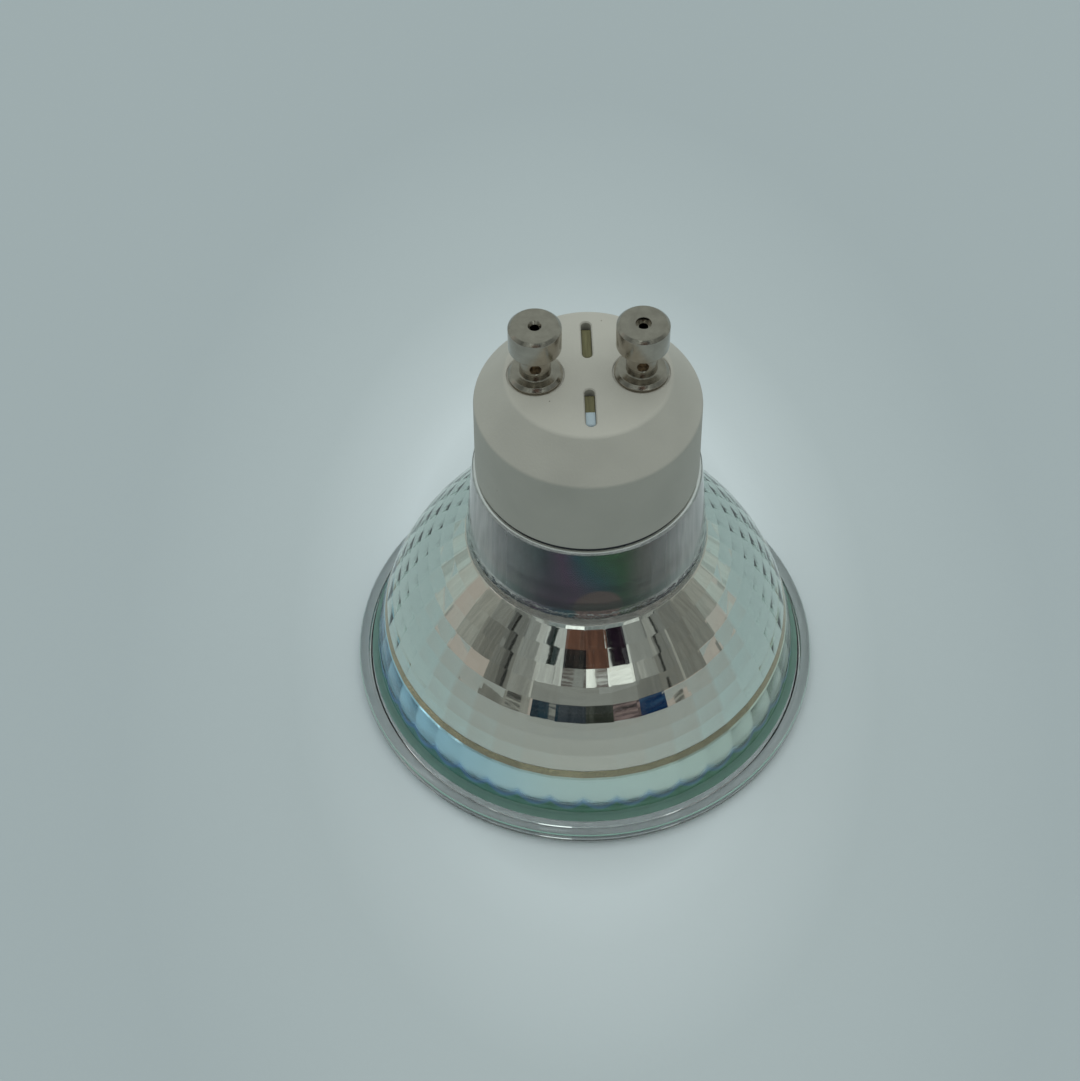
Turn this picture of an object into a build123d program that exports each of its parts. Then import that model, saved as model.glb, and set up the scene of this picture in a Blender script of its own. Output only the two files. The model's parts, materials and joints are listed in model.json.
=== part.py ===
from build123d import *
from math import acos, asin, cos, hypot, radians, sin, sqrt
import os

# LED reflector lamp with a twist-lock base, standing face down on its front rim.
# Lengths are in millimetres. Z is the lamp's axis: the front rim stands on z = 0 and
# the two contact pins point up, side by side along X. The driver board stands inside
# the base in the YZ plane, and its two tabs rise into the slots of the base's top.

os.makedirs("parts", exist_ok=True)

# Glass reflector: rim and bowl
rim_radius = 25.0
rim_edge_height = 1.9
rim_round = 0.7
rim_mouth_chamfer = 0.25
flange_slope_width = 1.8
flange_shelf_width = 0.35
flange_shelf_z = 2.8
flange_shelf_blend = 0.35
bowl_arc_radius = 28.2
glass_wall = 1.8

# Glass reflector: mirror facets on the inside of the bowl
facet_columns = 40
facet_rows = 9
facet_turn = -2.7
facet_top_radius = 10.3
facet_end_z = 7.43
collar_step = 0.75
collar_step_height = 0.75
lens_ledge_width = 1.4

# Glass reflector: neck
neck_root_radius = 12.45
neck_root_z = 21.89
neck_lip_radius = 11.45
neck_length = 10.3
neck_bore_radius = 10.1
neck_root_blend = 0.5
lip_round = 0.35
led_ledge_thickness = 1.1
led_window_radius = 9.2

# Front lens and its sealant
mouth_wall = 1.7
lens_thickness = 1.4
lens_recess = 0.3
lens_edge_round = 0.2
lens_rib_clearance = 0.5
lens_rib_width = 0.9
lens_rib_height = 0.8
lens_groove_width = 0.4
sealant_clearance = 0.02
lens_sealant_depth = 1.1

# White base
neck_sealant_thickness = 0.25
neck_sealant_setback = 0.2
base_edge_radius = 11.15
base_wall_draft = 0.15
base_wall_height = 9.25
base_cone_height = 3.7
base_top_radius = 7.95
base_edge_round = 0.25
base_roof = 2.2
plug_clearance = 0.2
plug_wall = 1.5
plug_end_gap = 0.1

# Slots in the base's top, and the driver board
board_thickness = 0.9
board_side_clearance = 0.05
board_edge_clearance = 0.25
board_foot_height = 1.6
slot_inner_end = 2.0
slot_outer_end = 6.6
tab_inner_gap = 0.32
tab_outer_gap = 0.45
tab_depth_below_top = 0.5
board_shoulder_gap = 0.2
board_corner_round = 0.3
rail_thickness = 0.8
rail_reach = 1.3
rail_bottom_gap = 2.5
rail_top_gap = 1.5
pad_hole_radius = 0.35
pad_hole_drop = 1.0

# Contact pins
pin_spacing = 10.0
pin_head_radius = 2.5
pin_head_height = 2.9
pin_head_chamfer = 0.3
pin_head_under_round = 0.15
pin_neck_radius = 1.48
pin_neck_length = 3.15
pin_foot_radius = 2.6
pin_foot_thickness = 0.7
pin_foot_slope_radius = 2.3
pin_foot_edge_height = 0.35
pin_seat_depth = 0.15
pin_seat_clearance = 0.12
pin_tail_radius = 1.4
pin_tail_clearance = 0.05
rivet_head_radius = 2.1
rivet_head_thickness = 0.4
pin_bore_radius = 0.45
tip_recess_radius = {"left": 0.64, "right": 0.73}
tip_recess_floor_radius = {"left": 0.46, "right": 0.73}
tip_recess_depth = {"left": 0.3, "right": 0.5}
crimp_radius = 0.64
crimp_floor_radius = 0.32
crimp_depth = 0.4

# Lead wires from the pins to the driver board
lead_radius = 0.3
lead_bend_radius = 1.9
lead_reach_into_pin = 3.4
lead_pad_drop = 3.4

# LED board and LEDs
led_board_clearance = 0.15
led_board_thickness = 1.0
led_board_notch_radius = 0.8
led_count = 6
led_ring_radius = 5.6
led_length = 3.5
led_width = 2.8
led_height = 0.7
led_edge_chamfer = 0.12
led_well_radius = 1.15
led_well_depth = 0.1

# Parts on the driver board. Each place is across the board and up from its lower edge
film_capacitor_size = (3.4, 6.0, 7.2)
film_capacitor_place = (3.9, 5.2)
film_capacitor_round = 0.4
can_radius = 3.15
can_length = 9.0
can_place = (-2.9, 6.2)
can_board_gap = 0.1
can_rim_round = 0.4
can_groove_depth = 0.25
can_groove_height = 1.4
can_lead_spacing = 2.0
can_lead_radius = 0.25
can_lead_drop = 0.8
can_lead_bend = 0.5
fuse_radius = 1.1
fuse_waist_radius = 0.85
fuse_length = 5.0
fuse_cap_length = 1.1
fuse_place = (-3.6, 12.4)
fuse_lead_radius = 0.25
fuse_lead_reach = 0.6
drum_flange_radius = 3.1
drum_flange_thickness = 0.8
drum_core_radius = 1.6
drum_length = 5.0
drum_place = (0.5, 5.7)
winding_clearance = 0.05
winding_rim_gap = 0.35
bridge_size = (1.6, 4.0, 4.7)
bridge_place = (4.6, 12.0)
bridge_lead_pitch = 2.54
bridge_lead_count = 2
chip_size = (1.5, 3.9, 4.9)
chip_place = (-4.6, 11.9)
chip_lead_pitch = 1.27
chip_lead_count = 4
package_chamfer = 0.2
diode_size = (2.1, 2.6, 4.3)
diode_place = (-5.2, 4.6)
diode_lead_pitch = 2.0
diode_lead_count = 1
gull_lead_width = 0.4
gull_lead_thickness = 0.2
gull_lead_reach = 0.8
resistor_size = (0.5, 1.25, 2.0)
resistor_places = [(3.2, 11.4), (5.6, 11.4), (3.2, 14.4), (5.6, 14.4)]
small_capacitor_size = (0.9, 1.25, 2.0)
small_capacitor_places = [(6.3, 8.2), (6.3, 4.6), (6.3, 1.4)]
link_pin_side = 0.64
link_pin_offset = 2.5
link_pin_overlap = 1.6
link_pin_solder_end = 0.3


# The bowl's outer arc runs from the shelf of the flange up to the root of the neck.
# The inner arc, which carries the facets, has the same centre and leaves the glass wall.
flange_shelf_radius = rim_radius - flange_slope_width
bowl_foot_radius = flange_shelf_radius - flange_shelf_width
chord_run = bowl_foot_radius - neck_root_radius
chord_rise = neck_root_z - flange_shelf_z
chord = hypot(chord_run, chord_rise)
chord_offset = sqrt(bowl_arc_radius**2 - (chord / 2) ** 2) / chord
arc_centre_r = (bowl_foot_radius + neck_root_radius) / 2 - chord_offset * chord_rise
arc_centre_z = (flange_shelf_z + neck_root_z) / 2 - chord_offset * chord_run
inner_arc_radius = bowl_arc_radius - glass_wall

# Other places worked out from the driving dimensions
facet_top_angle = acos((facet_top_radius - arc_centre_r) / inner_arc_radius)
facet_end_angle = asin((facet_end_z - arc_centre_z) / inner_arc_radius)
facet_top_z = arc_centre_z + inner_arc_radius * sin(facet_top_angle)
facet_end_radius = arc_centre_r + inner_arc_radius * cos(facet_end_angle)
lens_seat_z = lens_recess + lens_thickness
lens_seat_radius = rim_radius - mouth_wall
lens_radius = lens_seat_radius - lens_groove_width
collar_mouth_radius = lens_seat_radius - lens_ledge_width
lens_rib_radius = collar_mouth_radius - lens_rib_clearance
led_seat_z = facet_top_z + led_ledge_thickness
lip_z = neck_root_z + neck_length

base_shoulder_radius = base_edge_radius - base_wall_draft
neck_sealant_radius = base_edge_radius - neck_sealant_setback
base_edge_z = lip_z + neck_sealant_thickness
base_cone_z = base_edge_z + base_wall_height
base_top_z = base_cone_z + base_cone_height
roof_z = base_top_z - base_roof
plug_radius = neck_bore_radius - plug_clearance
cavity_radius = plug_radius - plug_wall
base_cone_slope = (base_shoulder_radius - base_top_radius) / base_cone_height
cavity_roof_radius = cavity_radius - base_cone_slope * (roof_z - base_cone_z)

led_board_radius = neck_bore_radius - led_board_clearance
led_board_back_z = led_seat_z + led_board_thickness
plug_end_z = led_board_back_z + plug_end_gap

board_face_x = board_thickness / 2
board_half_width = cavity_radius - board_edge_clearance
board_bottom_z = led_board_back_z + board_foot_height
board_top_z = base_cone_z - board_shoulder_gap
tab_top_z = base_top_z - tab_depth_below_top
slot_width = board_thickness + 2 * board_side_clearance
slot_length = slot_outer_end - slot_inner_end
slot_centre = (slot_outer_end + slot_inner_end) / 2

pin_x = pin_spacing / 2
pin_seat_z = base_top_z - pin_seat_depth
pin_neck_z = pin_seat_z + pin_foot_thickness
pin_head_z = pin_neck_z + pin_neck_length
pin_tip_z = pin_head_z + pin_head_height
rivet_end_z = roof_z - rivet_head_thickness
lead_pad_z = roof_z - lead_pad_drop


def nearest_corner(outline, x, y):
    """The corner of a flat outline that lies nearest to the point (x, y)."""
    return outline.vertices().sort_by_distance((x, y))[0]


def write(piece, name):
    """Label a finished piece and write its STEP file."""
    piece.part.label = name
    export_step(piece.part, f"parts/{name}.step")


# Glass reflector: the outside is one turned outline of rim, bowl and neck
with BuildPart() as glass_reflector:
    with BuildSketch(Plane.XZ) as glass_outline:
        with BuildLine():
            bowl_foot = (bowl_foot_radius, flange_shelf_z)
            neck_root = (neck_root_radius, neck_root_z)
            Polyline((0, 0), (rim_radius, 0), (rim_radius, rim_edge_height))
            Line((rim_radius, rim_edge_height), (flange_shelf_radius, flange_shelf_z))
            Line((flange_shelf_radius, flange_shelf_z), bowl_foot)
            RadiusArc(bowl_foot, neck_root, -bowl_arc_radius)
            Polyline(neck_root, (neck_lip_radius, lip_z), (0, lip_z), (0, 0))
        make_face()
        fillet(nearest_corner(glass_outline, rim_radius, 0), rim_round)
        fillet(nearest_corner(glass_outline, rim_radius, rim_edge_height), rim_round)
        fillet(nearest_corner(glass_outline, *bowl_foot), flange_shelf_blend)
        fillet(nearest_corner(glass_outline, *neck_root), neck_root_blend)
        fillet(nearest_corner(glass_outline, neck_lip_radius, lip_z), lip_round)
    revolve(axis=Axis.Z)

    # The mirror: a stack of many-sided rings, one flat facet to each column and row
    collar_radius = facet_end_radius + collar_step
    collar_z = facet_end_z - collar_step_height
    rings = [(collar_mouth_radius, lens_seat_z), (collar_radius, collar_z)]
    for row in range(facet_rows + 1):
        share = row / facet_rows
        angle = facet_end_angle + share * (facet_top_angle - facet_end_angle)
        ring_radius = arc_centre_r + inner_arc_radius * cos(angle)
        ring_z = arc_centre_z + inner_arc_radius * sin(angle)
        rings.append((ring_radius, ring_z))
    for ring_radius, ring_z in rings:
        with BuildSketch(Plane.XY.offset(ring_z)):
            RegularPolygon(ring_radius, facet_columns, rotation=facet_turn)
    loft(ruled=True, mode=Mode.SUBTRACT)

    # Lens seat, window for the LEDs and bore of the neck
    with BuildSketch():
        Circle(lens_seat_radius)
    extrude(amount=lens_seat_z, mode=Mode.SUBTRACT)
    with BuildSketch(Plane.XY.offset(facet_top_z)):
        Circle(led_window_radius)
    extrude(amount=led_ledge_thickness, mode=Mode.SUBTRACT)
    with BuildSketch(Plane.XY.offset(led_seat_z)):
        Circle(neck_bore_radius)
    extrude(amount=lip_z - led_seat_z, mode=Mode.SUBTRACT)
    rim_mouth = glass_reflector.edges().filter_by(GeomType.CIRCLE).group_by(Axis.Z)[0]
    chamfer(rim_mouth.sort_by(SortBy.RADIUS)[0], rim_mouth_chamfer)
write(glass_reflector, "glass_reflector")

# Front lens: a clear disc with a rib that centres it in the glass
with BuildPart() as front_lens:
    with BuildSketch(Plane.XY.offset(lens_recess)):
        Circle(lens_radius)
    extrude(amount=lens_thickness)
    fillet(front_lens.edges().filter_by(GeomType.CIRCLE).group_by(Axis.Z)[0], lens_edge_round)
    with BuildSketch(Plane.XY.offset(lens_seat_z)):
        Circle(lens_rib_radius)
        Circle(lens_rib_radius - lens_rib_width, mode=Mode.SUBTRACT)
    extrude(amount=lens_rib_height)
write(front_lens, "front_lens")

# Clear sealant in the groove round the lens
with BuildPart() as lens_sealant:
    with BuildSketch(Plane.XY.offset(lens_seat_z)):
        Circle(lens_seat_radius - sealant_clearance)
        Circle(lens_radius + sealant_clearance, mode=Mode.SUBTRACT)
    extrude(amount=-lens_sealant_depth)
write(lens_sealant, "lens_sealant")

# Dark sealant between the glass lip and the base's shoulder
with BuildPart() as neck_sealant:
    with BuildSketch(Plane.XY.offset(lip_z)):
        Circle(neck_sealant_radius)
        Circle(neck_bore_radius, mode=Mode.SUBTRACT)
    extrude(amount=neck_sealant_thickness)
write(neck_sealant, "neck_sealant")

# White base: a turned shell with a hollow plug, slots, pin seats and board rails
with BuildPart() as base_cap:
    with BuildSketch(Plane.XZ) as base_outline:
        with BuildLine():
            Polyline(
                (cavity_radius, plug_end_z),
                (plug_radius, plug_end_z),
                (plug_radius, base_edge_z),
                (base_edge_radius, base_edge_z),
                (base_shoulder_radius, base_cone_z),
                (base_top_radius, base_top_z),
                (0, base_top_z),
                (0, roof_z),
                (cavity_roof_radius, roof_z),
                (cavity_radius, base_cone_z),
                (cavity_radius, plug_end_z),
            )
        make_face()
        fillet(nearest_corner(base_outline, base_edge_radius, base_edge_z), base_edge_round)
        fillet(nearest_corner(base_outline, base_shoulder_radius, base_cone_z), base_edge_round)
        fillet(nearest_corner(base_outline, base_top_radius, base_top_z), base_edge_round)
    revolve(axis=Axis.Z)
    with BuildSketch(Plane.XY.offset(base_top_z)):
        with Locations((0, slot_centre), (0, -slot_centre)):
            SlotOverall(slot_length, slot_width, rotation=90)
    extrude(amount=-base_roof, mode=Mode.SUBTRACT)
    with BuildSketch(Plane.XY.offset(base_top_z)):
        with GridLocations(pin_spacing, 0, 2, 1):
            Circle(pin_foot_radius + pin_seat_clearance)
    extrude(amount=-pin_seat_depth, mode=Mode.SUBTRACT)
    with BuildSketch(Plane.XY.offset(base_top_z)):
        with GridLocations(pin_spacing, 0, 2, 1):
            Circle(pin_tail_radius + pin_tail_clearance)
    extrude(amount=-base_roof, mode=Mode.SUBTRACT)
    rail_height = base_cone_z - rail_top_gap - plug_end_z - rail_bottom_gap
    rail_centre_x = slot_width / 2 + rail_thickness / 2
    rail_centre_y = cavity_radius + (plug_wall - rail_reach) / 2
    with BuildSketch(Plane.XY.offset(plug_end_z + rail_bottom_gap)):
        with GridLocations(2 * rail_centre_x, 2 * rail_centre_y, 2, 2):
            Rectangle(rail_thickness, rail_reach + plug_wall / 2)
    extrude(amount=rail_height)
write(base_cap, "base_cap")

# Contact pins: turned and hollow, riveted through the base and crimped on their leads
for side, direction in (("left", -1), ("right", 1)):
    pin_axis = Axis((direction * pin_x, 0, 0), (0, 0, 1))
    pin_plane = Plane(origin=(direction * pin_x, 0, 0), x_dir=(1, 0, 0), z_dir=(0, -1, 0))
    with BuildPart() as pin:
        with BuildSketch(pin_plane) as pin_outline:
            with BuildLine():
                Polyline(
                    (pin_bore_radius, rivet_end_z),
                    (rivet_head_radius, rivet_end_z),
                    (rivet_head_radius, roof_z),
                    (pin_tail_radius, roof_z),
                    (pin_tail_radius, pin_seat_z),
                    (pin_foot_radius, pin_seat_z),
                    (pin_foot_radius, pin_seat_z + pin_foot_edge_height),
                    (pin_foot_slope_radius, pin_neck_z),
                    (pin_neck_radius, pin_neck_z),
                    (pin_neck_radius, pin_head_z),
                    (pin_head_radius, pin_head_z),
                    (pin_head_radius, pin_tip_z),
                    (pin_bore_radius, pin_tip_z),
                    (pin_bore_radius, rivet_end_z),
                )
            make_face()
            chamfer(nearest_corner(pin_outline, pin_head_radius, pin_tip_z), pin_head_chamfer)
            fillet(nearest_corner(pin_outline, pin_head_radius, pin_head_z), pin_head_under_round)
        revolve(axis=pin_axis)
        recess_floor_z = pin_tip_z - tip_recess_depth[side]
        with BuildSketch(pin_plane):
            with BuildLine():
                Polyline(
                    (0, pin_tip_z),
                    (tip_recess_radius[side], pin_tip_z),
                    (tip_recess_floor_radius[side], recess_floor_z),
                    (0, recess_floor_z),
                    (0, pin_tip_z),
                )
            make_face()
        revolve(axis=pin_axis, mode=Mode.SUBTRACT)
        crimp_z = (pin_neck_z + pin_head_z) / 2
        for front in (-1, 1):
            crimp_face = Plane(
                origin=(direction * pin_x, front * pin_neck_radius, crimp_z),
                z_dir=(0, -front, 0),
            )
            with Locations(crimp_face):
                Cone(
                    crimp_radius,
                    crimp_floor_radius,
                    crimp_depth,
                    align=(Align.CENTER, Align.CENTER, Align.MIN),
                    mode=Mode.SUBTRACT,
                )
    write(pin, f"pin_{side}")

    # Lead wire: down out of the pin's bore, then across to its pad on the board
    with BuildPart() as lead:
        with BuildLine():
            FilletPolyline(
                (direction * pin_x, 0, roof_z + lead_reach_into_pin),
                (direction * pin_x, 0, lead_pad_z),
                (direction * board_face_x, 0, lead_pad_z),
                radius=lead_bend_radius,
            )
        lead_top = (direction * pin_x, 0, roof_z + lead_reach_into_pin)
        with BuildSketch(Plane(origin=lead_top, z_dir=(0, 0, -1))):
            Circle(lead_radius)
        sweep()
    write(lead, f"lead_{side}")

# Driver board: a plate between the rails, with two tabs that rise into the slots
with BuildPart() as driver_board:
    with BuildSketch(Plane.YZ.offset(-board_face_x)) as board_outline:
        tab_inner = slot_inner_end + tab_inner_gap
        tab_outer = slot_outer_end - tab_outer_gap
        with BuildLine():
            Polyline(
                (0, board_bottom_z),
                (board_half_width, board_bottom_z),
                (board_half_width, board_top_z),
                (tab_outer, board_top_z),
                (tab_outer, tab_top_z),
                (tab_inner, tab_top_z),
                (tab_inner, board_top_z),
                (0, board_top_z),
            )
            mirror(about=Plane.YZ)
        make_face()
        fillet(nearest_corner(board_outline, tab_outer, tab_top_z), board_corner_round)
        fillet(nearest_corner(board_outline, tab_inner, tab_top_z), board_corner_round)
        fillet(nearest_corner(board_outline, -tab_outer, tab_top_z), board_corner_round)
        fillet(nearest_corner(board_outline, -tab_inner, tab_top_z), board_corner_round)
        for hole_y in (-board_half_width / 2, board_half_width / 2):
            with Locations((hole_y, board_top_z - pad_hole_drop)):
                Circle(pad_hole_radius, mode=Mode.SUBTRACT)
    extrude(amount=board_thickness)
write(driver_board, "driver_board")



def board_right(place, stand_off=0):
    """A point over the board's right face."""
    return (board_face_x + stand_off, place[0], board_bottom_z + place[1])


def board_left(place, stand_off=0):
    """A point over the board's left face."""
    return (-board_face_x - stand_off, place[0], board_bottom_z + place[1])


# Film capacitor: a moulded box on the board's right face
with BuildPart() as film_capacitor:
    depth, width, height = film_capacitor_size
    with Locations(board_right(film_capacitor_place, depth / 2)):
        Box(depth, width, height)
    fillet(film_capacitor.edges().filter_by(Axis.X), film_capacitor_round)
write(film_capacitor, "film_capacitor")

# Electrolytic capacitor: a rolled can with a crimp groove and two bent leads
with BuildPart() as electrolytic_capacitor:
    can_x, can_y, can_z = board_right(can_place, can_board_gap + can_radius)
    can_bottom = can_z - can_length / 2
    can_plane = Plane(origin=(can_x, can_y, can_bottom), x_dir=(1, 0, 0), z_dir=(0, -1, 0))
    with BuildSketch(can_plane) as can_outline:
        with BuildLine():
            Polyline(
                (0, 0),
                (can_radius, 0),
                (can_radius, can_groove_height - can_groove_depth),
                (can_radius - can_groove_depth, can_groove_height),
                (can_radius, can_groove_height + can_groove_depth),
                (can_radius, can_length),
                (0, can_length),
                (0, 0),
            )
        make_face()
        fillet(nearest_corner(can_outline, can_radius, 0), can_rim_round)
        fillet(nearest_corner(can_outline, can_radius, can_length), can_rim_round)
    revolve(axis=Axis((can_x, can_y, 0), (0, 0, 1)))
    for lead_side in (-1, 1):
        lead_y = can_y + lead_side * can_lead_spacing / 2
        with BuildLine():
            FilletPolyline(
                (can_x, lead_y, can_bottom),
                (can_x, lead_y, can_bottom - can_lead_drop),
                (board_face_x, lead_y, can_bottom - can_lead_drop),
                radius=can_lead_bend,
            )
        with BuildSketch(Plane(origin=(can_x, lead_y, can_bottom), z_dir=(0, 0, -1))):
            Circle(can_lead_radius)
        sweep()
write(electrolytic_capacitor, "electrolytic_capacitor")

# Fuse resistor: a dog-bone body along Y with a lead at each end
with BuildPart() as fuse_resistor:
    fuse_centre = board_right(fuse_place, fuse_radius)
    fuse_plane = Plane(origin=fuse_centre, x_dir=(0, 1, 0), z_dir=(1, 0, 0))
    with BuildSketch(fuse_plane) as fuse_outline:
        half = fuse_length / 2
        with BuildLine():
            Polyline(
                (-half - fuse_lead_reach, 0),
                (-half - fuse_lead_reach, fuse_lead_radius),
                (-half, fuse_lead_radius),
                (-half, fuse_radius),
                (-half + fuse_cap_length, fuse_radius),
                (-half + fuse_cap_length, fuse_waist_radius),
                (half - fuse_cap_length, fuse_waist_radius),
                (half - fuse_cap_length, fuse_radius),
                (half, fuse_radius),
                (half, fuse_lead_radius),
                (half + fuse_lead_reach, fuse_lead_radius),
                (half + fuse_lead_reach, 0),
                (-half - fuse_lead_reach, 0),
            )
        make_face()
    revolve(axis=Axis(fuse_centre, (0, 1, 0)))
write(fuse_resistor, "fuse_resistor")

# Inductor: a ferrite drum on the board's left face, and its winding
drum_plane = Plane(origin=board_left(drum_place), x_dir=(0, 1, 0), z_dir=(-1, 0, 0))
with BuildPart() as drum_core:
    with BuildSketch(drum_plane):
        Circle(drum_flange_radius)
    extrude(amount=drum_flange_thickness)
    with BuildSketch(drum_plane):
        Circle(drum_core_radius)
    extrude(amount=drum_length)
    with BuildSketch(drum_plane.offset(drum_length - drum_flange_thickness)):
        Circle(drum_flange_radius)
    extrude(amount=drum_flange_thickness)
write(drum_core, "drum_core")

with BuildPart() as drum_winding:
    with BuildSketch(drum_plane.offset(drum_flange_thickness + winding_clearance)):
        Circle(drum_flange_radius - winding_rim_gap)
        Circle(drum_core_radius + winding_clearance, mode=Mode.SUBTRACT)
    extrude(amount=drum_length - 2 * (drum_flange_thickness + winding_clearance))
write(drum_winding, "drum_winding")

# Leaded packages on the board's left face: their leads come out along Y
leaded_packages = {
    "bridge_rectifier": (bridge_size, bridge_place, bridge_lead_pitch, bridge_lead_count),
    "driver_ic": (chip_size, chip_place, chip_lead_pitch, chip_lead_count),
    "flyback_diode": (diode_size, diode_place, diode_lead_pitch, diode_lead_count),
}
for name, (size, place, pitch, lead_count) in leaded_packages.items():
    depth, width, height = size
    with BuildPart() as package:
        with Locations(board_left(place, depth / 2)):
            Box(depth, width, height)
        chamfer(package.faces().sort_by(Axis.X)[0].edges(), package_chamfer)
        lead_plane = Plane(origin=board_left(place), x_dir=(0, 1, 0), z_dir=(1, 0, 0))
        with BuildSketch(lead_plane):
            with GridLocations(0, pitch, 1, lead_count):
                Rectangle(width + 2 * gull_lead_reach, gull_lead_width)
        extrude(amount=-gull_lead_thickness)
    write(package, name)

# Small chips, each kind one group of separate blocks
with BuildPart() as smd_resistors:
    depth, width, height = resistor_size
    for place in resistor_places:
        with Locations(board_right(place, depth / 2)):
            Box(depth, width, height)
write(smd_resistors, "smd_resistors")

with BuildPart() as smd_capacitors:
    depth, width, height = small_capacitor_size
    for place in small_capacitor_places:
        with Locations(board_left(place, depth / 2)):
            Box(depth, width, height)
write(smd_capacitors, "smd_capacitors")

# Square link pins: they carry the current from the driver board to the LED board
link_pin_x = -board_face_x - link_pin_side / 2
link_pin_top_z = board_bottom_z + link_pin_overlap
with BuildPart() as link_pins:
    with BuildSketch(Plane.XY.offset(led_seat_z - link_pin_solder_end)):
        with Locations((link_pin_x, link_pin_offset), (link_pin_x, -link_pin_offset)):
            Rectangle(link_pin_side, link_pin_side)
    extrude(amount=link_pin_top_z - led_seat_z + link_pin_solder_end)
write(link_pins, "link_pins")

# LED board: an aluminium disc on the ledge in the neck, with two notches and pin holes
with BuildPart() as led_board:
    with BuildSketch(Plane.XY.offset(led_seat_z)):
        Circle(led_board_radius)
        with Locations((led_board_radius, 0), (-led_board_radius, 0)):
            Circle(led_board_notch_radius, mode=Mode.SUBTRACT)
        with Locations((link_pin_x, link_pin_offset), (link_pin_x, -link_pin_offset)):
            Circle(link_pin_side, mode=Mode.SUBTRACT)
    extrude(amount=led_board_thickness)
write(led_board, "led_board")

# LEDs: a ring of flat packages facing the lens, each with a round phosphor well
for number in range(led_count):
    turn = 360 * (number + 0.5) / led_count
    led_x = led_ring_radius * cos(radians(turn))
    led_y = led_ring_radius * sin(radians(turn))
    led_plane = Plane(
        origin=(led_x, led_y, led_seat_z),
        x_dir=(cos(radians(turn)), sin(radians(turn)), 0),
        z_dir=(0, 0, -1),
    )
    with BuildPart() as led:
        with BuildSketch(led_plane):
            Rectangle(led_width, led_length)
        extrude(amount=led_height)
        chamfer(led.faces().sort_by(Axis.Z)[0].edges(), led_edge_chamfer)
        with BuildSketch(led_plane.offset(led_height)):
            Circle(led_well_radius)
        extrude(amount=-led_well_depth, mode=Mode.SUBTRACT)
    write(led, f"led_{number + 1}")
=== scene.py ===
# %% [markdown]
# The object is an LED lamp of the pressed-glass reflector kind. It stands face down on its
# front rim, with its white base and two contact pins up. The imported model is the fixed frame:
# every piece here is built in metres round the places that the frame gives.

import json
from math import acos, asin, atan2, cos, hypot, pi, radians, sin, sqrt, tan

import bmesh
import bpy
from mathutils import Matrix, Vector

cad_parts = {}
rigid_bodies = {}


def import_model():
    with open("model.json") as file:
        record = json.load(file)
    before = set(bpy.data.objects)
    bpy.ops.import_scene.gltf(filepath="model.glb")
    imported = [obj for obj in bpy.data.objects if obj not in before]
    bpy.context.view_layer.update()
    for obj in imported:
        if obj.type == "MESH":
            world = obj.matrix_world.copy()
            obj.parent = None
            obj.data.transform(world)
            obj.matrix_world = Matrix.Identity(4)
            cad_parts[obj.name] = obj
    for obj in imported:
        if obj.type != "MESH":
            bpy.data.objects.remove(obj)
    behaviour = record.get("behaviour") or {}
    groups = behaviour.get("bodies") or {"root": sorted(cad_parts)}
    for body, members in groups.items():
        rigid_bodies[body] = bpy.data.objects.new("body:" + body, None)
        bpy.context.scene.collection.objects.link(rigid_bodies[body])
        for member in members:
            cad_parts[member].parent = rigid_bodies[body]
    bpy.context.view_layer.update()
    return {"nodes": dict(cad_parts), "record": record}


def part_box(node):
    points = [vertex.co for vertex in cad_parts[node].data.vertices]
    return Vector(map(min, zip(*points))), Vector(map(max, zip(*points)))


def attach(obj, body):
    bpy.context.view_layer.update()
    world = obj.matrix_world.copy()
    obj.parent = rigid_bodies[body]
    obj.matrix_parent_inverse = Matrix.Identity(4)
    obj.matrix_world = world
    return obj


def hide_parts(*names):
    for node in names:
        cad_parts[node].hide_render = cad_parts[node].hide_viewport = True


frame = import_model()
MM = 0.001
print("nodes in the frame:", len(frame["nodes"]))

# %% [markdown]
# Most sizes are read off the frame, so that the pieces stay with the model. A box tells how far
# a node reaches, and for a turned piece that is its radius and its two ends.

# %% Read the main sizes
def reach(node):
    """Radius, lowest height and highest height of a node that is turned about the lamp's axis."""
    low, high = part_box(node)
    return high.y, low.z, high.z


rim_radius, floor_z, lip_z = reach("glass_reflector")
lens_radius, lens_face_z, lens_rib_top = reach("front_lens")
_, led_seat_z, _ = reach("led_board")
base_edge_radius, plug_end_z, base_top_z = reach("base_cap")
neck_sealant_radius, _, base_edge_z = reach("neck_sealant")
print(f"rim radius {rim_radius / MM:.1f} mm, glass lip at {lip_z / MM:.1f} mm")

# %% [markdown]
# Nearly all of this lamp is round about one axis, so one helper does most of the modelling. It
# joins rings of points with faces, and a ring of a single point closes the form at the axis.
# A Screw or Spin modifier could turn an outline too, but the mirror needs rings with forty
# corners among the round ones, and the same helper makes both.

# %% Helper: skin a stack of rings
def link_mesh(name, points, faces):
    """A new mesh object from points and faces, with its normals turned outward."""
    mesh = bpy.data.meshes.new(name)
    mesh.from_pydata(points, [], faces)
    shape = bmesh.new()
    shape.from_mesh(mesh)
    bmesh.ops.recalc_face_normals(shape, faces=shape.faces)
    shape.to_mesh(mesh)
    shape.free()
    piece = bpy.data.objects.new(name, mesh)
    bpy.context.scene.collection.objects.link(piece)
    return piece


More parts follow.
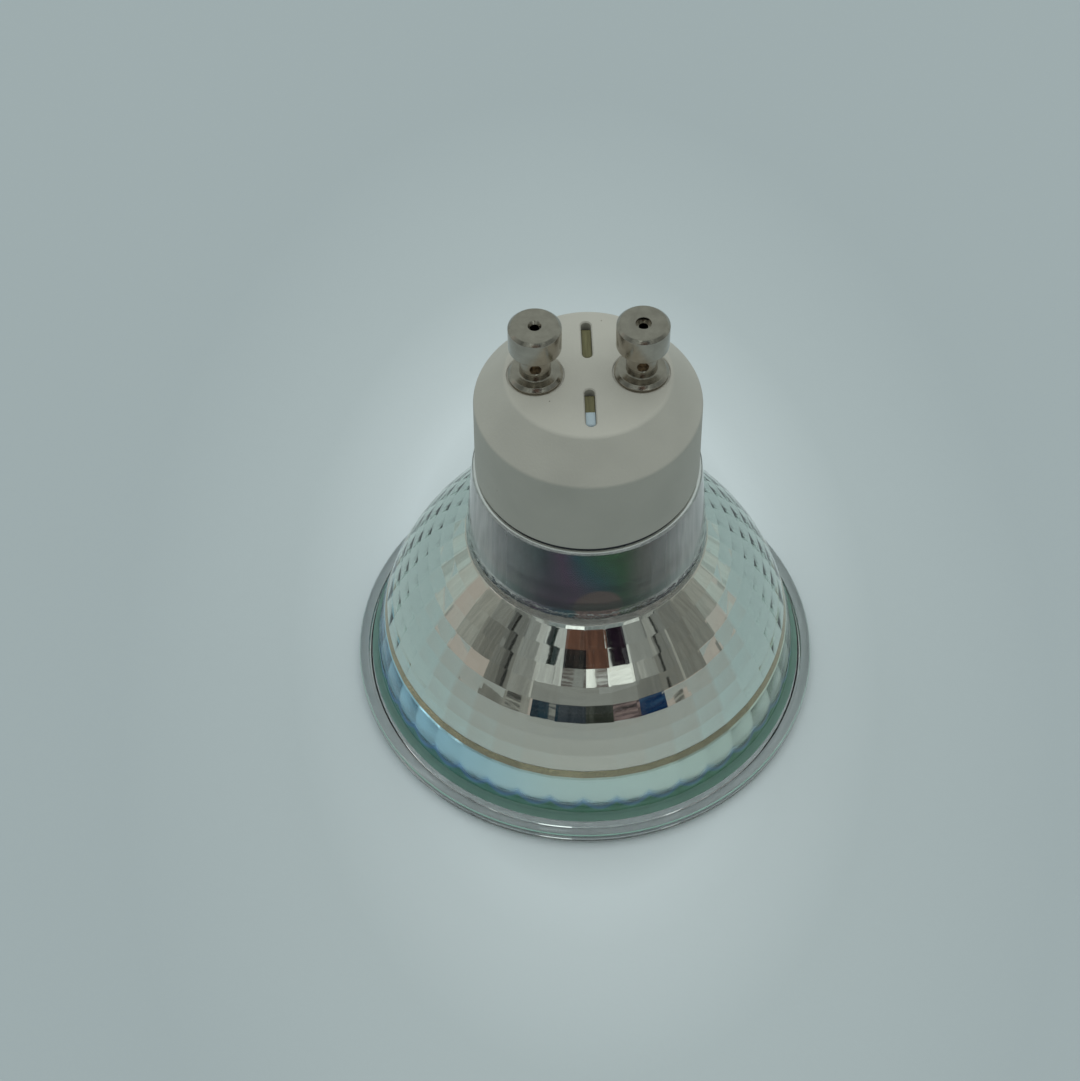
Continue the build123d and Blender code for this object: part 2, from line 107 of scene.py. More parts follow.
def skin(name, rings, looped=True):
    """Joins each ring of points to the next. A looped stack also joins the last to the first."""
    points = [point for ring in rings for point in ring]
    starts = [sum(len(ring) for ring in rings[:number]) for number in range(len(rings))]
    faces = []
    pairs = list(zip(range(len(rings)), range(1, len(rings))))
    if looped:
        pairs.append((len(rings) - 1, 0))
    for first, second in pairs:
        count = max(len(rings[first]), len(rings[second]))
        for step in range(count):
            corners = []
            for ring, offset in ((first, 0), (first, 1), (second, 1), (second, 0)):
                corner = starts[ring] + (step + offset) % len(rings[ring])
                if corner not in corners:
                    corners.append(corner)
            if len(corners) > 2:
                faces.append(corners)
    return link_mesh(name, points, faces)


# %% Helper: outlines with rounded corners, turned about an axis
on_axis = 1e-6 * MM


def rounded(outline, steps=5):
    """The points of a closed outline of (radius, height, rounding) corners."""
    corners = [Vector(corner[:2]) for corner in outline]
    points = []
    for number, corner in enumerate(corners):
        rounding = outline[number][2] if len(outline[number]) > 2 else 0
        if not rounding:
            points.append(corner)
            continue
        back = (corners[number - 1] - corner).normalized()
        ahead = (corners[(number + 1) % len(corners)] - corner).normalized()
        half = back.angle(ahead) / 2
        centre = corner + (back + ahead).normalized() * rounding / sin(half)
        start = (corner + back * rounding / tan(half) - centre).normalized()
        end = (corner + ahead * rounding / tan(half) - centre).normalized()
        for step in range(steps + 1):
            points.append(centre + start.slerp(end, step / steps) * rounding)
    return points


def turned(name, outline, centre_x=0.0, segments=192, looped=True):
    """A solid turned about a vertical axis at centre_x. A point on the axis makes a ring of one."""
    rings = []
    for radius, height in outline:
        count = segments if radius > on_axis else 1
        turns = [2 * pi * step / count for step in range(count)]
        rings.append([(centre_x + radius * cos(t), radius * sin(t), height) for t in turns])
    return skin(name, rings, looped)


def smooth(piece, angle=30):
    """Smooth shading with a crease at each steeper edge, and with the wide flat faces kept flat."""
    piece.data.shade_smooth()
    piece.data.set_sharp_from_angle(angle=radians(angle))
    piece.modifiers.new("keep_flats", "WEIGHTED_NORMAL").keep_sharp = True
    return piece


# %% [markdown]
# The camera stands where the photograph's did. The rim, the base and the pins, seen as ellipses
# of known size, give its distance and angles. The lens follows from the focal length in pixels
# of the photograph, which is 1080 pixels wide.

# %% Camera
camera_turn = radians(-0.88)
camera_rise = radians(52.51)
camera_roll = radians(-0.86)
camera_distance = 212.27 * MM
aim_height = 20 * MM
aim_right = -4.79 * MM
aim_up = -0.33 * MM
focal_pixels = 2040.5
photo_width_pixels = 1080
sensor_width = 36
near_clip = 10 * MM

back = Vector((
    sin(camera_turn) * cos(camera_rise),
    -cos(camera_turn) * cos(camera_rise),
    sin(camera_rise),
))
level_right = Vector((cos(camera_turn), sin(camera_turn), 0))
level_up = back.cross(level_right)
right = level_right * cos(camera_roll) + level_up * sin(camera_roll)
up = level_up * cos(camera_roll) - level_right * sin(camera_roll)

camera_data = bpy.data.cameras.new("photo_camera")
camera_data.sensor_fit = "HORIZONTAL"
camera_data.sensor_width = sensor_width
camera_data.lens = focal_pixels / photo_width_pixels * sensor_width
camera_data.clip_start = near_clip
camera = bpy.data.objects.new("photo_camera", camera_data)
aim = Vector((0, 0, aim_height)) + right * aim_right + up * aim_up
camera.matrix_world = Matrix.Translation(aim + back * camera_distance) @ Matrix(
    (right, up, back)
).transposed().to_4x4()
bpy.context.scene.collection.objects.link(camera)
bpy.context.scene.camera = camera
print(f"camera lens {camera_data.lens:.1f} mm")

# %% [markdown]
# Every material is a node tree. Object coordinates give the place in metres, because each
# piece's origin is the lamp's own, so a noise with a scale of one over the grain's size has
# that grain on every piece. A few helpers keep the trees short.

# %% Helpers: node materials
def new_material(name):
    """A material, its node tree and its shader."""
    made = bpy.data.materials.new(name)
    made.use_nodes = True
    return made, made.node_tree, made.node_tree.nodes["Principled BSDF"]


def add(tree, kind, inputs=None, **settings):
    """A node with its settings and its unlinked inputs filled in, and linked inputs joined."""
    node = tree.nodes.new(kind)
    for name, value in settings.items():
        setattr(node, name, value)
    for name, value in (inputs or {}).items():
        if isinstance(value, bpy.types.NodeSocket):
            tree.links.new(value, node.inputs[name])
        else:
            node.inputs[name].default_value = value
    return node


def place(tree):
    """The place on the surface in the lamp's own frame, in metres."""
    return add(tree, "ShaderNodeTexCoord").outputs["Object"]


def noise(tree, grain, detail=3.0, stretch=(1, 1, 1)):
    """A noise whose blotches are about one grain across, or longer where it is stretched."""
    squeeze = [1 / longer for longer in stretch]
    scaled = add(tree, "ShaderNodeMapping", {"Vector": place(tree), "Scale": squeeze}).outputs[0]
    settings = {"Vector": scaled, "Scale": 1 / grain, "Detail": detail}
    return add(tree, "ShaderNodeTexNoise", settings).outputs[0]


def ramp(tree, value, stops):
    """A colour for each value: stops are (value, colour) pairs."""
    node = add(tree, "ShaderNodeValToRGB", {"Fac": value})
    elements = node.color_ramp.elements
    while len(elements) < len(stops):
        elements.new(0.5)
    for element, (position, colour) in zip(elements, stops):
        element.position = position
        element.color = (*colour, 1)
    return node.outputs[0]


def share_of(tree, value, low, high):
    """Where a value stands in a range, as a share from 0 to 1."""
    settings = {"Value": value, "From Min": low, "From Max": high}
    return add(tree, "ShaderNodeMapRange", settings).outputs[0]


def spread(tree, value, low, high):
    """A value from 0 to 1 spread over a range."""
    settings = {"Value": value, "To Min": low, "To Max": high}
    return add(tree, "ShaderNodeMapRange", settings).outputs[0]


def calculate(tree, operation, *terms):
    """The result of a Math node on one to three terms, each a number or an output."""
    return add(tree, "ShaderNodeMath", dict(enumerate(terms)), operation=operation).outputs[0]


def mixed(tree, share, first, second, blend="MIX"):
    """Two colours mixed, with this share of the second."""
    colours = {0: share, 6: first, 7: second}
    return add(tree, "ShaderNodeMix", colours, data_type="RGBA", blend_type=blend).outputs[2]


def axes_of(tree):
    """The place on the surface as three outputs, X, Y and Z."""
    return add(tree, "ShaderNodeSeparateXYZ", {"Vector": place(tree)}).outputs


def bump(tree, shader, height, depth):
    """Raises the surface by a height map, by at most this depth in metres."""
    node = add(tree, "ShaderNodeBump", {"Height": height, "Distance": depth})
    tree.links.new(node.outputs[0], shader.inputs["Normal"])


def finish_of(name, light, dark, grain, gloss, metal=0.0, depth=0.01 * MM, stretch=(1, 1, 1)):
    """A solid finish: colour, roughness and relief vary with one grain."""
    made, tree, shader = new_material(name)
    grains = noise(tree, grain, stretch=stretch)
    tree.links.new(ramp(tree, grains, [(0.3, dark), (0.7, light)]), shader.inputs["Base Color"])
    tree.links.new(spread(tree, grains, *gloss), shader.inputs["Roughness"])
    shader.inputs["Metallic"].default_value = metal
    bump(tree, shader, grains, depth)
    return made


def dress(piece, made, slot, *nodes):
    """Gives a piece its material and lets it stand for the nodes it replaces. The slot is not used.
    """
    piece.data.materials.clear()
    for material in made if isinstance(made, list) else [made]:
        piece.data.materials.append(material)
    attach(piece, "root")
    if nodes:
        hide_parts(*nodes)
    print(piece.name, "has", len(piece.data.polygons), "faces")


# %% [markdown]
# The photograph's floor is a pale blue-grey sheet, and a large plane stands for it. A ramp over
# the distance from the lamp paints a brighter pool of light round the lamp and a painted shadow
# just in front of its rim, and squeezing the coordinates first makes the pool longer from front to
# back. The plane lies a hair below the rim, because two faces in one plane would fight over which
# of them is seen.

# %% Floor
# Painted light: the first stop is darker than the second, a painted shadow close round the rim, and
# the stops after it are a painted pool of light that fades away from the lamp.
floor_colours_with_painted_pool = [
    (0.30, (0.52, 0.595, 0.613)),
    (0.36, (0.55, 0.63, 0.65)),
    (0.42, (0.49, 0.565, 0.582)),
    (0.56, (0.41, 0.48, 0.495)),
    (0.88, (0.362, 0.428, 0.445)),
]
floor_half_width = 3.0
floor_gap = 0.03 * MM
painted_pool_reach = 100 * MM
painted_pool_squeeze = (1.7, 1.0, 1.0)
painted_pool_centre_y = 5 * MM
floor_roughness = 0.6
floor_shine = 0.2
floor_grain = 0.5 * MM

floor = link_mesh(
    "floor",
    [
        (x * floor_half_width, y * floor_half_width, floor_z - floor_gap)
        for x, y in ((-1, -1), (1, -1), (1, 1), (-1, 1))
    ],
    [(0, 1, 2, 3)],
)
floor_material, tree, shader = new_material("floor_sheet")
pool = add(
    tree, "ShaderNodeMapping",
    {"Vector": place(tree), "Scale": painted_pool_squeeze, "Location": (0, -painted_pool_centre_y, 0)},
)
from_middle = add(tree, "ShaderNodeVectorMath", {0: pool.outputs[0]}, operation="LENGTH")
share = share_of(tree, from_middle.outputs["Value"], 0.0, painted_pool_reach)
tree.links.new(ramp(tree, share, floor_colours_with_painted_pool), shader.inputs["Base Color"])
shader.inputs["Roughness"].default_value = floor_roughness
shader.inputs["Specular IOR Level"].default_value = floor_shine
bump(tree, shader, noise(tree, floor_grain), 0.01 * MM)
floor.data.materials.append(floor_material)
print("floor ready")

# %% [markdown]
# The light is soft and comes from above. A wide area lamp gives a little more than half of it,
# and the world fills in the rest. The two together light a level surface at a strength of about
# one, so that a colour renders about as it is written. The lamp hangs high, a little to the
# back, and no reflection meets it: a mirror shows the cards that come next instead.

# %% Soft light
overhead_size = 22.0
overhead_height = 10.0
overhead_back = 3.0
overhead_watts = 1270.0
overhead_colour = (0.97, 1.0, 1.0)
sky_colour = (0.99, 1.0, 0.96)
sky_strength = 0.42

lamp_data = bpy.data.lights.new("overhead_light", "AREA")
lamp_data.shape = "DISK"
lamp_data.size = overhead_size
lamp_data.energy = overhead_watts
lamp_data.color = overhead_colour
overhead = bpy.data.objects.new("overhead_light", lamp_data)
overhead.location = (0, overhead_back, overhead_height)
towards_lamp = -Vector((0, overhead_back, overhead_height))
overhead.rotation_euler = towards_lamp.to_track_quat("-Z", "Y").to_euler()
overhead.visible_glossy = False
bpy.context.scene.collection.objects.link(overhead)

world = bpy.data.worlds.new("pale_room")
world.use_nodes = True
background = world.node_tree.nodes["Background"]
background.inputs["Color"].default_value = (*sky_colour, 1)
background.inputs["Strength"].default_value = sky_strength
bpy.context.scene.world = world
print("lights ready")

# %% [markdown]
# A mirror shows only its surroundings. The lamp's facets fan out, so each one looks at its own
# small part of the room: the lowest rows at the floor, the next at the horizon, the top ones
# above it. Photographers set cards round such an object to give its mirror something to show.
# These cards stand on a wide circle, and each has its turn from the front, its rise above the
# floor, and two shades that streaks mix. Only reflections meet them: the camera, the shadows and
# the soft light don't. Light that comes down through the glass to the floor under the rim would
# meet them too, so for a path that has left a matte surface they glow about as brightly as the
# light from above.

# %% Helper: one card
card_distance = 1.5
card_gap = 1 * MM
card_segment = 4
streak_width = 9 * MM
streak_stops = (0.42, 0.62)
dark_share = 0.8
under_glass_glow = (0.8, 0.8, 0.8, 1)
flat_streaks = (30, 30, 1)
upright_streaks = (2, 2, 30)
cards = []


def card(turns, rises, light, dark=None, streaks=upright_streaks, lean=0.0):
    """Notes one card: its turns and rises in degrees, its two shades and how its streaks run."""
    dark = dark or [dark_share * part for part in light]
    cards.append((turns, rises, light, dark, streaks, lean))


def grey(level):
    """A shade of the room, a little green like the rest of it."""
    return (0.88 * level, level, 0.97 * level)


# %% The cards from left to right, and those in front of them
card((-90, -76), (5, 60), grey(0.36))
card((-76, -63), (9, 60), grey(0.27))
card((-72, -66), (9, 26), grey(0.2))
card((-63, -49), (-1, 60), grey(0.21), grey(0.17))
card((-53.8, -51.5), (26, 60), grey(0.3))
card((-49, -35), (-1, 60), grey(0.3), grey(0.25))
card((-44.3, -41.2), (9, 60), grey(0.55), grey(0.46), lean=-0.1)
card((-53.9, -52.6), (6, 60), grey(0.11), lean=-0.1)
card((-54.9, -54.0), (6, 60), grey(0.015), lean=-0.1)
card((-39.5, -35.5), (-1, 7), grey(0.4), grey(0.03), flat_streaks)
card((-35, -14), (8, 17), grey(0.27), grey(0.25))
card((-35, -14), (17, 60), grey(0.62), grey(0.45))
card((-27.2, -24.7), (26, 45), (0.008, 0.022, 0.022), (0.004, 0.006, 0.006))
card((-26.3, -25.9), (17, 26), grey(0.28))
card((-31, -14.5), (-1, 8), (0.02, 0.045, 0.065), (0.012, 0.025, 0.04))
card((-29, -25.5), (-1, 8), grey(0.3), (0.012, 0.025, 0.04), flat_streaks)
card((-14.5, 14), (8, 17), grey(0.29), grey(0.27), flat_streaks)
card((-14.5, -10.2), (17, 26), grey(0.3))
card((-10.2, 0), (17, 26), grey(0.38), (0.06, 0.045, 0.04), flat_streaks)
card((-14.5, 14), (26, 45), (0.14, 0.075, 0.052), (0.085, 0.048, 0.036))
card((-14.5, 0), (26, 34.5), (0.035, 0.032, 0.03), (0.012, 0.014, 0.015))
card((-14.5, 0), (-1, 8), (0.04, 0.055, 0.07), (0.022, 0.032, 0.042))
card((0, 5.4), (17, 26), grey(0.6), (0.1, 0.08, 0.075), flat_streaks)
card((5.4, 14), (17, 26), grey(1.15), grey(0.95))
card((0, 14), (-1, 8), (0.05, 0.062, 0.055), (0.022, 0.028, 0.024))
card((14, 29), (8, 26), grey(1.1), grey(0.85), flat_streaks)
card((14, 29), (8, 17), grey(0.27), grey(0.25))
card((14, 29), (26, 45), grey(0.75))
card((15, 22.8), (26, 34.5), (0.02, 0.013, 0.022), (0.008, 0.006, 0.01))
card((15, 25.6), (34.5, 45), (0.02, 0.013, 0.022), (0.008, 0.006, 0.01))
card((14, 29), (-1, 8), (0.3, 0.25, 0.26), (0.012, 0.012, 0.014), flat_streaks)
card((29, 44), (9, 60), grey(0.3), grey(0.27))
card((34.2, 35.9), (17, 26), grey(0.45))
card((29, 44), (8, 17), grey(0.21))
card((29, 44), (-1, 8), (0.02, 0.07, 0.16), (0.004, 0.02, 0.07), flat_streaks)
card((36, 44), (42, 60), grey(0.8))
card((44, 51.6), (6, 60), grey(0.21), grey(0.19))
card((51.6, 58), (5, 60), grey(0.38))
card((48.6, 49.3), (8, 60), grey(0.012), lean=0.16)
card((46, 48.6), (-3, 3.5), grey(0.4), grey(0.02), flat_streaks)
card((58, 72), (2, 60), grey(0.22), grey(0.18))
card((72, 84), (6, 60), grey(0.26))
card((84, 98), (8, 60), grey(0.37))
card((98, 262), (1, 60), grey(0.5), grey(0.45))
back_strip_width = 6
for turn in (112, 130, 148, 166, 189, 207, 225, 243):
    card((turn, turn + back_strip_width), (1, 60), grey(0.4), grey(0.35))
card((-98, 262), (60, 86), grey(0.42), grey(0.34))
card((-35, 35), (45, 60), (0.3, 0.36, 0.36), (0.2, 0.25, 0.25))
card((-24, -8), (47, 57), grey(1.5), grey(1.2))
print("cards:", len(cards))

# %% Set the cards up
points, faces, faces_of = [], [], []
for number, (turns, rises, _, _, _, lean) in enumerate(cards):
    distance = card_distance - number * card_gap
    segments = max(1, round((turns[1] - turns[0]) / card_segment))
    for step in range(segments + 1):
        for rise in rises:
            turn = turns[0] + (turns[1] - turns[0]) * step / segments + lean * (rise - rises[0])
            x, y = sin(radians(turn)) * distance, -cos(radians(turn)) * distance
            points.append((x, y, distance * tan(radians(rise))))
    first = len(points) - 2 * (segments + 1)
    for step in range(first, first + 2 * segments, 2):
        faces.append((step, step + 2, step + 3, step + 1))
        faces_of.append(number)
room_cards = link_mesh("room_cards", points, faces)
for number, (_, _, light, dark, streaks, _) in enumerate(cards):
    card_material, tree, shader = new_material(f"card_{number}")
    streaked = noise(tree, streak_width, 1.0, streaks)
    shade = ramp(tree, streaked, list(zip(streak_stops, (dark, light))))
    from_matte = add(tree, "ShaderNodeLightPath").outputs["Diffuse Depth"]
    shown = mixed(tree, from_matte, shade, under_glass_glow)
    glow = add(tree, "ShaderNodeEmission", {"Color": shown})
    tree.links.new(glow.outputs[0], tree.nodes["Material Output"].inputs["Surface"])
    tree.nodes.remove(shader)
    card_material.cycles.emission_sampling = "NONE"
    room_cards.data.materials.append(card_material)
for face, number in zip(room_cards.data.polygons, faces_of):
    face.material_index = number
room_cards.visible_camera = False
room_cards.visible_diffuse = False
room_cards.visible_shadow = False
print("card faces:", len(faces))

# %% [markdown]
# The glass body is one pressing: a round rim, a bowl that curves up to a neck, and a mirror of
# forty columns and nine rows of flat facets on the inside of the bowl. The outside is smooth,
# so the facets are seen through clear glass, which bends and brightens them. The bowl's outer
# curve is an arc, and the facets lie on a second arc with the same centre, one wall further in.

# %% Curves of the bowl
bowl_foot = Vector((rim_radius - 2.15 * MM, 2.8 * MM))
neck_root = Vector((12.45 * MM, 21.89 * MM))
bowl_arc_radius = 28.2 * MM
glass_wall = 1.8 * MM

chord = neck_root - bowl_foot
middle = (bowl_foot + neck_root) / 2
inward = Vector((-chord.y, chord.x)).normalized()
arc_centre = middle + inward * sqrt(bowl_arc_radius**2 - (chord.length / 2) ** 2)
inner_arc_radius = bowl_arc_radius - glass_wall


def on_arc(radius, angle):
    """A point of an arc about the bowl's arc centre."""
    return arc_centre + Vector((cos(angle), sin(angle))) * radius


def angle_at(point):
    """The angle at which a point is seen from the bowl's arc centre."""
    return atan2(point.y - arc_centre.y, point.x - arc_centre.x)


print(f"arc centre at {arc_centre.x / MM:.2f}, {arc_centre.y / MM:.2f} mm")

# %% Outline of the glass
rim_edge_height = 1.9 * MM
rim_round = 0.7 * MM
flange_slope_width = 1.8 * MM
neck_lip_radius = 11.45 * MM
neck_bore_radius = 10.1 * MM
led_window_radius = 9.2 * MM
mouth_radius = rim_radius - 1.7 * MM
mouth_chamfer = 0.25 * MM
lens_seat_z = 1.7 * MM
bowl_steps = 40

bowl_points = []
for step in range(1, bowl_steps):
    angle = angle_at(bowl_foot) + (angle_at(neck_root) - angle_at(bowl_foot)) * step / bowl_steps
    bowl_points.append((*on_arc(bowl_arc_radius, angle), 0))
outside = [
    (mouth_radius, lens_seat_z),
    (mouth_radius, floor_z + mouth_chamfer),
    (mouth_radius + mouth_chamfer, floor_z),
    (rim_radius, floor_z, rim_round),
    (rim_radius, rim_edge_height, rim_round),
    (rim_radius - flange_slope_width, bowl_foot.y, 0.2 * MM),
    (bowl_foot.x, bowl_foot.y, 0.3 * MM),
    *bowl_points,
    (neck_root.x, neck_root.y, 0.5 * MM),
    (neck_lip_radius, lip_z, 0.35 * MM),
    (neck_bore_radius, lip_z, 0.3 * MM),
    (neck_bore_radius, led_seat_z),
]
glass_outline = rounded(outside + [(led_window_radius, led_seat_z)])
print("points in the glass outline:", len(glass_outline))

# %% [markdown]
# The facets are made as rings with forty corners. Each ring has five points to a side, and its
# two outer points stand just short of the corners, so a narrow strip runs along each edge. The
# strip is the slight rounding that pressed glass has, and it catches the light. Flat shading
# keeps each facet a plane mirror.

# %% Rings of the mirror
facet_columns = 40
facet_rows = 9
facet_turn = radians(-2.7)
facet_top = Vector((10.3 * MM, led_seat_z - 1.1 * MM))
facet_end_z = 7.43 * MM
collar_step = 0.75 * MM
gold_share = 0.75
collar_mouth_radius = 21.9 * MM
edge_strip = 0.02
column_strip = 0.05
along_side = (column_strip, 0.25, 0.5, 0.75, 1 - column_strip)


def many_sided(radius, height):
    """A ring on the sides of a polygon with forty corners."""
    ring = []
    for column in range(facet_columns):
        here = facet_turn + 2 * pi * column / facet_columns
        there = here + 2 * pi / facet_columns
        for share in along_side:
            x = radius * ((1 - share) * cos(here) + share * cos(there))
            y = radius * ((1 - share) * sin(here) + share * sin(there))
            ring.append((x, y, height))
    return ring


def round_ring(radius, height):
    """A round ring whose points stand at the same angles as those of the many-sided one."""
    return [
        (radius * x / hypot(x, y), radius * y / hypot(x, y), height)
        for x, y, _ in many_sided(1.0, height)
    ]


facet_end_angle = asin((facet_end_z - arc_centre.y) / inner_arc_radius)
facet_top_angle = acos((facet_top.x - arc_centre.x) / inner_arc_radius)
corners = []
for row in range(facet_rows + 1):
    angle = facet_top_angle + (facet_end_angle - facet_top_angle) * row / facet_rows
    corners.append(on_arc(inner_arc_radius, angle))
facet_rings = [corners[0]]
for upper, lower in zip(corners, corners[1:]):
    facet_rings += [upper.lerp(lower, edge_strip), upper.lerp(lower, 1 - edge_strip)]
facet_rings.append(corners[-1])
collar_top = corners[-1] + Vector((collar_step, -collar_step))
gold_end = corners[-1].lerp(collar_top, gold_share)
collar_rings = [gold_end, collar_top, Vector((collar_mouth_radius, lens_seat_z))]
print("rings of the mirror:", len(facet_rings) + len(collar_rings))

# %% Glass body
round_points = [*glass_outline, Vector((led_window_radius, corners[0].y))]
rings = [round_ring(*point) for point in round_points]
rings += [many_sided(*point) for point in facet_rings + collar_rings]
reflector = skin("reflector_glass", rings)
smooth(reflector, 20)
print("glass body:", len(reflector.data.polygons), "faces")

# %% [markdown]
# The mirror is a thin coating that was put on from the inside. Where it is thick it is a plain
# mirror with a warm cast, which turns green when seen at a slant. It thins out beyond the
# facets and up in the neck, and there it shows the colours of a thin film: gold on the step,
# aqua and blue on the collar, dark green on the ledge. Each zone has its own material, because
# the zones meet at edges of the glass.

# %% Clear glass
def clear_glass(name, tint, waviness):
    """Clear glass with a faint tint and the slight waves of a pressed surface."""
    made, tree, shader = new_material(name)
    shader.inputs["Base Color"].default_value = (*tint, 1)
    shader.inputs["Transmission Weight"].default_value = 1.0
    shader.inputs["IOR"].default_value = 1.5
    tree.links.new(spread(tree, noise(tree, 2 * MM), 0.0, 0.03), shader.inputs["Roughness"])
    bump(tree, shader, noise(tree, 4 * MM, detail=1.0), waviness)
    return made


glass = clear_glass("pressed_glass", (0.97, 0.985, 0.975), 0.01 * MM)
print("glass ready")


# %% Mirror coats
full_slant = 0.3


def slant_of(tree, low, high):
    """How far a surface turns away from the eye, as a share of the range from low to high."""
    facing = add(tree, "ShaderNodeLayerWeight", {"Blend": 0.5}).outputs["Facing"]
    return share_of(tree, facing, low, high)


def coat(name, colour_stops, grain, roughness, depth, metal=1.0):
    """A metal film whose colour shifts as it turns away from the eye, as thin films do."""
    made, tree, shader = new_material(name)
    colour = ramp(tree, slant_of(tree, 0.0, full_slant), colour_stops)
    tree.links.new(colour, shader.inputs["Base Color"])
    shader.inputs["Metallic"].default_value = metal
    shader.inputs["Roughness"].default_value = roughness
    bump(tree, shader, noise(tree, grain, detail=2.0), depth)
    return made


facet_mirror = coat(
    "facet_mirror",
    [(0.0, (0.70, 0.68, 0.64)), (0.25, (0.72, 0.655, 0.57)),
     (0.36, (0.73, 0.68, 0.6)), (0.6, (0.76, 0.85, 0.8))],
    grain=1.5 * MM, roughness=0.03, depth=0.002 * MM,
)
gold_coat = coat(
    "gold_coat", [(0.0, (0.42, 0.37, 0.24)), (1.0, (0.42, 0.36, 0.22))],
    grain=0.3 * MM, roughness=0.12, depth=0.05 * MM,
)
ledge_coat = coat(
    "ledge_coat", [(0.0, (0.2, 0.37, 0.31)), (1.0, (0.34, 0.6, 0.5))],
    grain=0.8 * MM, roughness=0.2, depth=0.01 * MM, metal=0.2,
)
lip_coat = coat(
    "lip_coat", [(0.0, (0.88, 0.88, 0.86)), (1.0, (0.95, 0.95, 0.93))],
    grain=0.5 * MM, roughness=0.15, depth=0.02 * MM,
)
root_coat = coat(
    "root_coat", [(0.0, (0.3, 0.33, 0.31)), (1.0, (0.95, 0.97, 0.95))],
    grain=0.7 * MM, roughness=0.05, depth=0.3 * MM,
)
made_coats = [facet_mirror, gold_coat, ledge_coat, lip_coat, root_coat]
print("coats:", ", ".join(made.name for made in made_coats))

# %% [markdown]
# In the neck the coat is thin enough to show the colours of a film: purple, blue, green and
# brown, one beside the other. They run across the neck and wander a little. At a slant the coat
# turns a hazy silver with fine upright streaks, a painted sheen. A brown spot near the foot, in
# front, is a painted reflection of the person at the camera, made from the distance to its
# middle, squeezed so that the spot is taller than it is wide.

# %% Neck coat
neck_sheen_slants = (0.2, 0.3)
# A painted reflection: a brown spot on the front of the neck stands for the person at the camera.
painted_reflection_place = (0.7 * MM, -neck_bore_radius, 22.3 * MM)
painted_reflection_size = (2.5 * MM, 2.5 * MM, 3.4 * MM)
painted_reflection_edge = 0.88
painted_reflection_brown = (0.28, 0.17, 0.15, 1)
film_across, film_clouds = 0.6, 0.4
film_colours = [
    (0.22, (0.02, 0.1, 0.08)), (0.36, (0.14, 0.06, 0.13)), (0.45, (0.02, 0.1, 0.13)),
    (0.54, (0.04, 0.15, 0.05)), (0.66, (0.14, 0.1, 0.07)), (0.78, (0.1, 0.06, 0.13)),
]


def neck_painted_reflection(tree):
    """How much of the painted brown reflection covers a place: 1 in its middle and 0 outside it."""
    from_painted_reflection = add(
        tree, "ShaderNodeVectorMath", {0: place(tree), 1: painted_reflection_place}, operation="SUBTRACT"
    )
    squeeze = [1 / size for size in painted_reflection_size]
    scaled = add(
        tree, "ShaderNodeVectorMath", {0: from_painted_reflection.outputs[0], 1: squeeze}, operation="MULTIPLY"
    )
    away = add(tree, "ShaderNodeVectorMath", {0: scaled.outputs[0]}, operation="LENGTH")
    return share_of(tree, away.outputs["Value"], 1.0, painted_reflection_edge)


def neck_material():
    """Dark and iridescent when seen straight on, and a painted hazy silver sheen with fine streaks
    at a slant.
    """
    made, tree, shader = new_material("neck_coat")
    across = share_of(tree, axes_of(tree)["X"], -neck_bore_radius, neck_bore_radius)
    clouds = noise(tree, 6 * MM, detail=0.0, stretch=(1, 1, 1.6))
    thickness = calculate(
        tree, "ADD", spread(tree, across, 0.0, film_across), spread(tree, clouds, 0.0, film_clouds)
    )
    film = mixed(tree, neck_painted_reflection(tree), ramp(tree, thickness, film_colours), painted_reflection_brown)
    streaks = noise(tree, 0.5 * MM, stretch=(1, 1, 10))
    # Painted sheen: the hazy silver that the neck turns at a slant stands in for bright reflections
    # at its sides.
    silver = ramp(tree, streaks, [(0.35, (0.72, 0.75, 0.73)), (0.65, (0.97, 0.98, 0.97))])
    slant = slant_of(tree, *neck_sheen_slants)
    tree.links.new(mixed(tree, slant, film, silver), shader.inputs["Base Color"])
    tree.links.new(spread(tree, slant, 1.0, 0.55), shader.inputs["Metallic"])
    shader.inputs["Roughness"].default_value = 0.2
    bump(tree, shader, noise(tree, 1.5 * MM, detail=1.0), 0.02 * MM)
    return made


neck_coat = neck_material()
print("neck colours:", len(film_colours))

# %% [markdown]
# The collar below the facets is aqua, and bluer on its left. The coat ends in a scalloped edge
# with one dip at each column. A sine of the angle round the lamp, taken without its sign, makes
# one hump a column, and it is added to the height before the height picks the colour.

# %% Aqua collar with its scalloped blue edge
scallop_depth = 0.9 * MM
edge_colours = [
    (0.0, (0.16, 0.36, 0.24)), (0.3, (0.19, 0.42, 0.32)), (0.38, (0.34, 0.54, 0.88)),
    (0.48, (0.74, 0.86, 1.0)), (0.58, (1.0, 1.0, 1.0)),
]
collar_colours = [(0.1, (0.45, 0.77, 0.94)), (0.4, (0.64, 0.78, 0.75)), (0.9, (0.7, 0.8, 0.7))]


